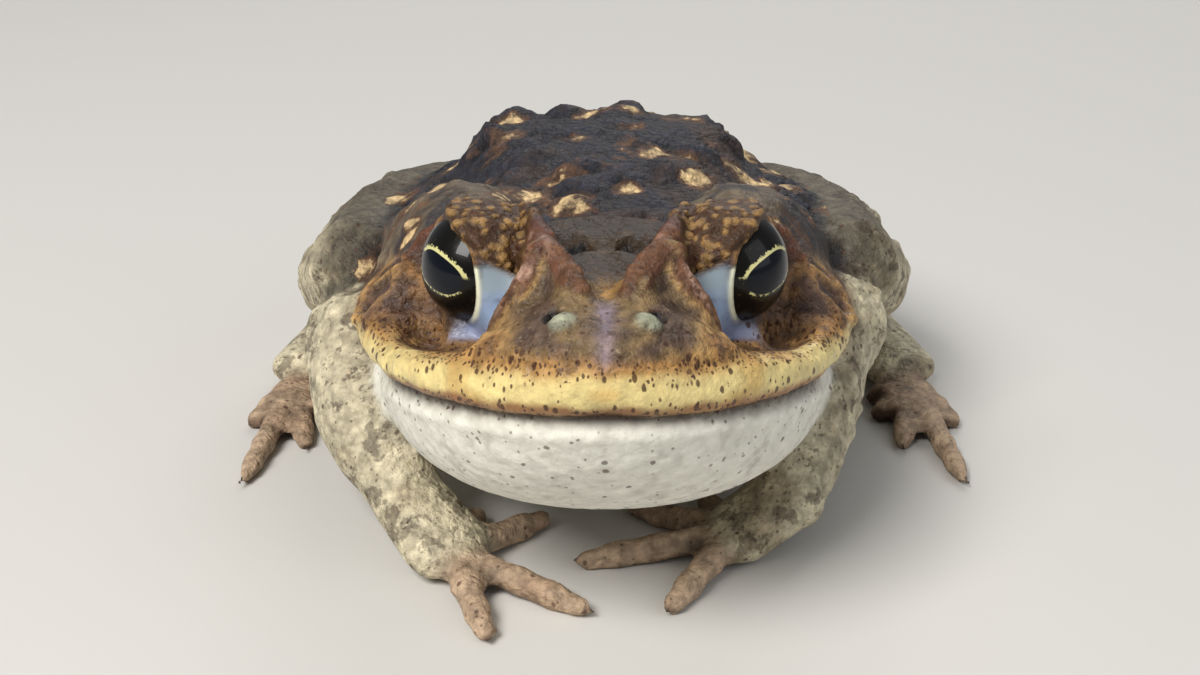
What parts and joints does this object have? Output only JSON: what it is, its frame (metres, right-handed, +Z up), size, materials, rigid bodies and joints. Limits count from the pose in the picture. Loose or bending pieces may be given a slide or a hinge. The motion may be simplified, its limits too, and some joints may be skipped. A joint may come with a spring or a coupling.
{
  "type": "cane toad",
  "caption": "Still, life-size adult cane toad sitting on its belly with its hands turned in, its hind legs folded at its flanks and its head raised.",
  "frame": {"origin": "the floor, in the middle of the flat under the belly", "axes": "+Z up, -Y towards the snout, +X towards the toad's own left side, X = 0 its middle plane"},
  "size_m": [0.097, 0.1284, 0.045],
  "materials": {
    "back_skin": "dry warty skin, slate to dark brown with cream and tan spots",
    "head_skin": "dry grained skin, tan and olive brown with red-brown bony ridges",
    "throat_skin": "fine wrinkled skin, cream white with small dark grey dots",
    "limb_skin": "grained skin, pale olive cream with brown and grey mottles",
    "eye": "wet gloss, black with broken gold rings"
  },
  "bodies": {
    "root": {"eardrum_left": "head_skin", "eardrum_right": "head_skin", "eye_left": "eye", "eye_right": "eye", "eyelid_left": "head_skin", "eyelid_right": "head_skin", "finger_1_left": "limb_skin", "finger_1_right": "limb_skin", "finger_2_left": "limb_skin", "finger_2_right": "limb_skin", "finger_3_left": "limb_skin", "finger_3_right": "limb_skin", "finger_4_left": "limb_skin", "finger_4_right": "limb_skin", "foot_left": "limb_skin", "foot_right": "limb_skin", "forearm_left": "limb_skin", "forearm_right": "limb_skin", "hand_left": "limb_skin", "hand_right": "limb_skin", "head": "head_skin", "lower_jaw": "throat_skin", "parotoid_gland_left": "back_skin", "parotoid_gland_right": "back_skin", "shank_left": "limb_skin", "shank_right": "limb_skin", "thigh_left": "limb_skin", "thigh_right": "limb_skin", "toe_1_left": "limb_skin", "toe_1_right": "limb_skin", "toe_2_left": "limb_skin", "toe_2_right": "limb_skin", "toe_3_left": "limb_skin", "toe_3_right": "limb_skin", "toe_4_left": "limb_skin", "toe_4_right": "limb_skin", "toe_5_left": "limb_skin", "toe_5_right": "limb_skin", "trunk": "back_skin", "upper_arm_left": "limb_skin", "upper_arm_right": "limb_skin"}
  },
  "joints": []
}
